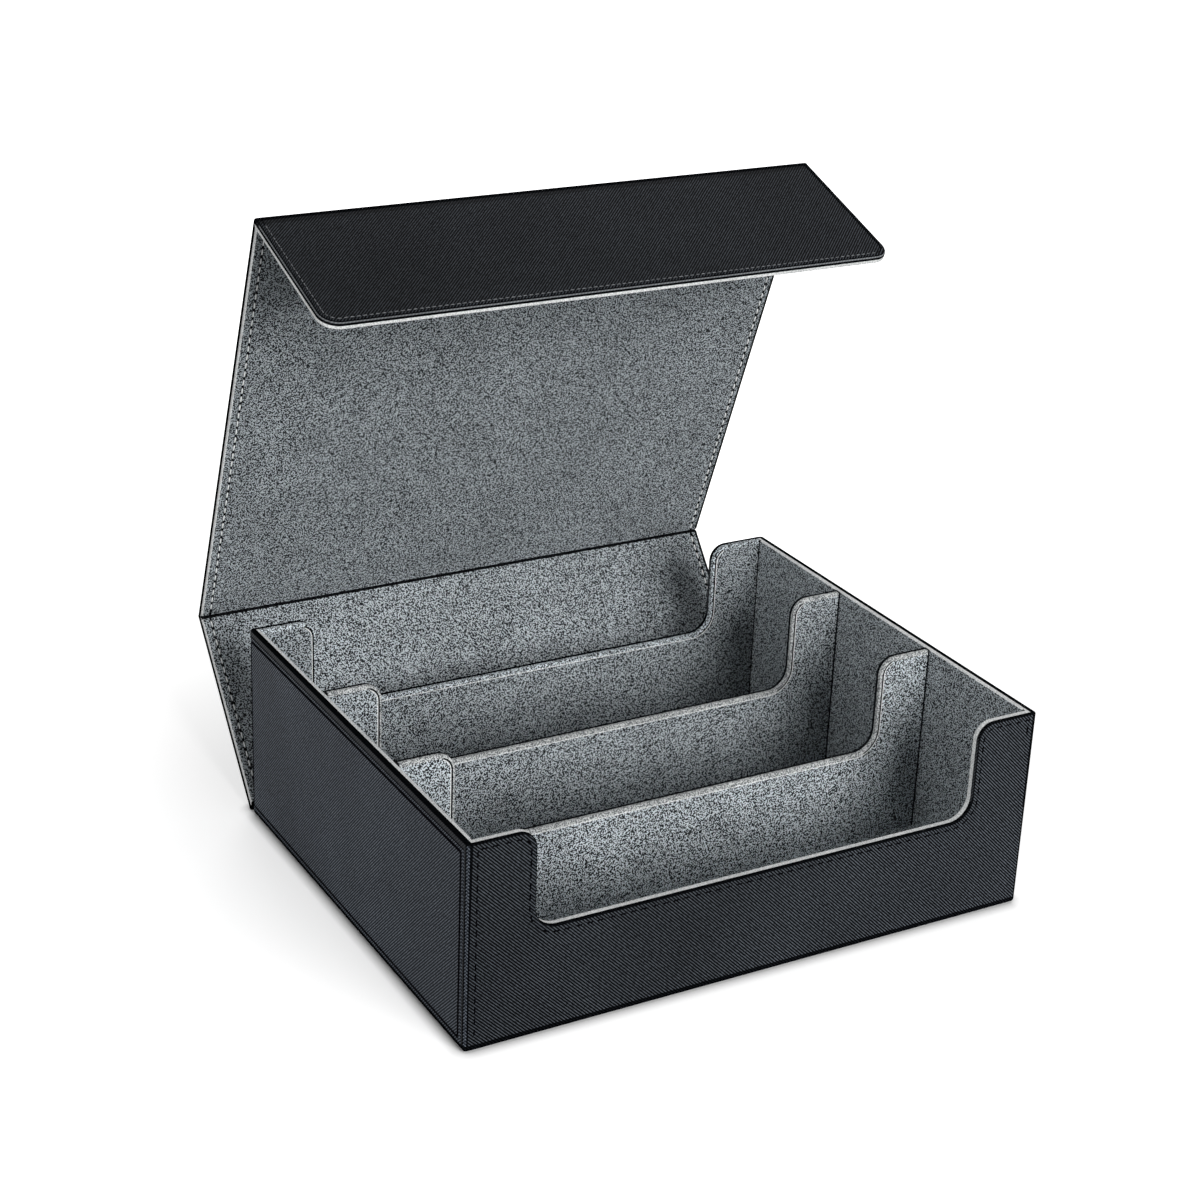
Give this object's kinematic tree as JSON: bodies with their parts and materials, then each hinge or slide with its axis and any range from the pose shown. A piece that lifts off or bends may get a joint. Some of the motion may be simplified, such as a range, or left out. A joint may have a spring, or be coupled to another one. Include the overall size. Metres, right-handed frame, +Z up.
{
  "type": "card storage box",
  "caption": "Low cloth-covered card box: a tray of long rows between notched dividers, under a folding cover whose front flap shuts on hidden magnets.",
  "frame": {"origin": "middle of the tray's underside, on the surface that it rests on", "axes": "+X runs along the rows to the right as seen from the front, the front faces -Y, and +Z is up"},
  "size_m": [0.2922, 0.3029, 0.3051],
  "materials": {
    "coated_cloth": "satin",
    "lining": "matte",
    "board": "matte",
    "magnet": "satin"
  },
  "bodies": {
    "tray": {"back_wall_board": "board", "back_wall_lining": "lining", "back_wall_skin": "coated_cloth", "base_board": "board", "base_fold_spine": "coated_cloth", "base_skin": "coated_cloth", "front_divider_board": "board", "front_divider_lining": "lining", "front_row_floor_lining": "lining", "front_wall_board": "board", "front_wall_lining": "lining", "front_wall_magnets": "magnet", "front_wall_skin": "coated_cloth", "left_side_panel": "coated_cloth", "left_wall_board": "board", "left_wall_lining": "lining", "left_wall_skin": "coated_cloth", "middle_row_floor_lining": "lining", "rear_divider_board": "board", "rear_divider_lining": "lining", "rear_row_floor_lining": "lining", "right_side_panel": "coated_cloth", "right_wall_board": "board", "right_wall_lining": "lining", "right_wall_skin": "coated_cloth"},
    "back_panel": {"back_panel_board": "board", "back_panel_skin": "coated_cloth", "back_panel_lining": "lining", "rear_fold_spine": "coated_cloth"},
    "top_panel": {"top_panel_board": "board", "top_panel_skin": "coated_cloth", "top_panel_lining": "lining", "front_fold_spine": "coated_cloth"},
    "flap": {"flap_board": "board", "flap_skin": "coated_cloth", "flap_lining": "lining", "flap_magnets": "magnet"}
  },
  "joints": [
    {"name": "base_fold", "type": "hinge", "parent": "tray", "child": "back_panel", "pos_m": [0, 0.1195, 0.0023], "axis": [-1, 0, 0], "range_deg": [-40, 50]},
    {"name": "rear_fold", "type": "hinge", "parent": "back_panel", "child": "top_panel", "pos_m": [0, 0.18391, 0.07906], "axis": [-1, 0, 0], "range_deg": [-29.6, 60.4]},
    {"name": "front_fold", "type": "hinge", "parent": "top_panel", "child": "flap", "pos_m": [0, 0.1006, 0.30307], "axis": [-1, 0, 0], "range_deg": [-1.4, 88.6]}
  ]
}
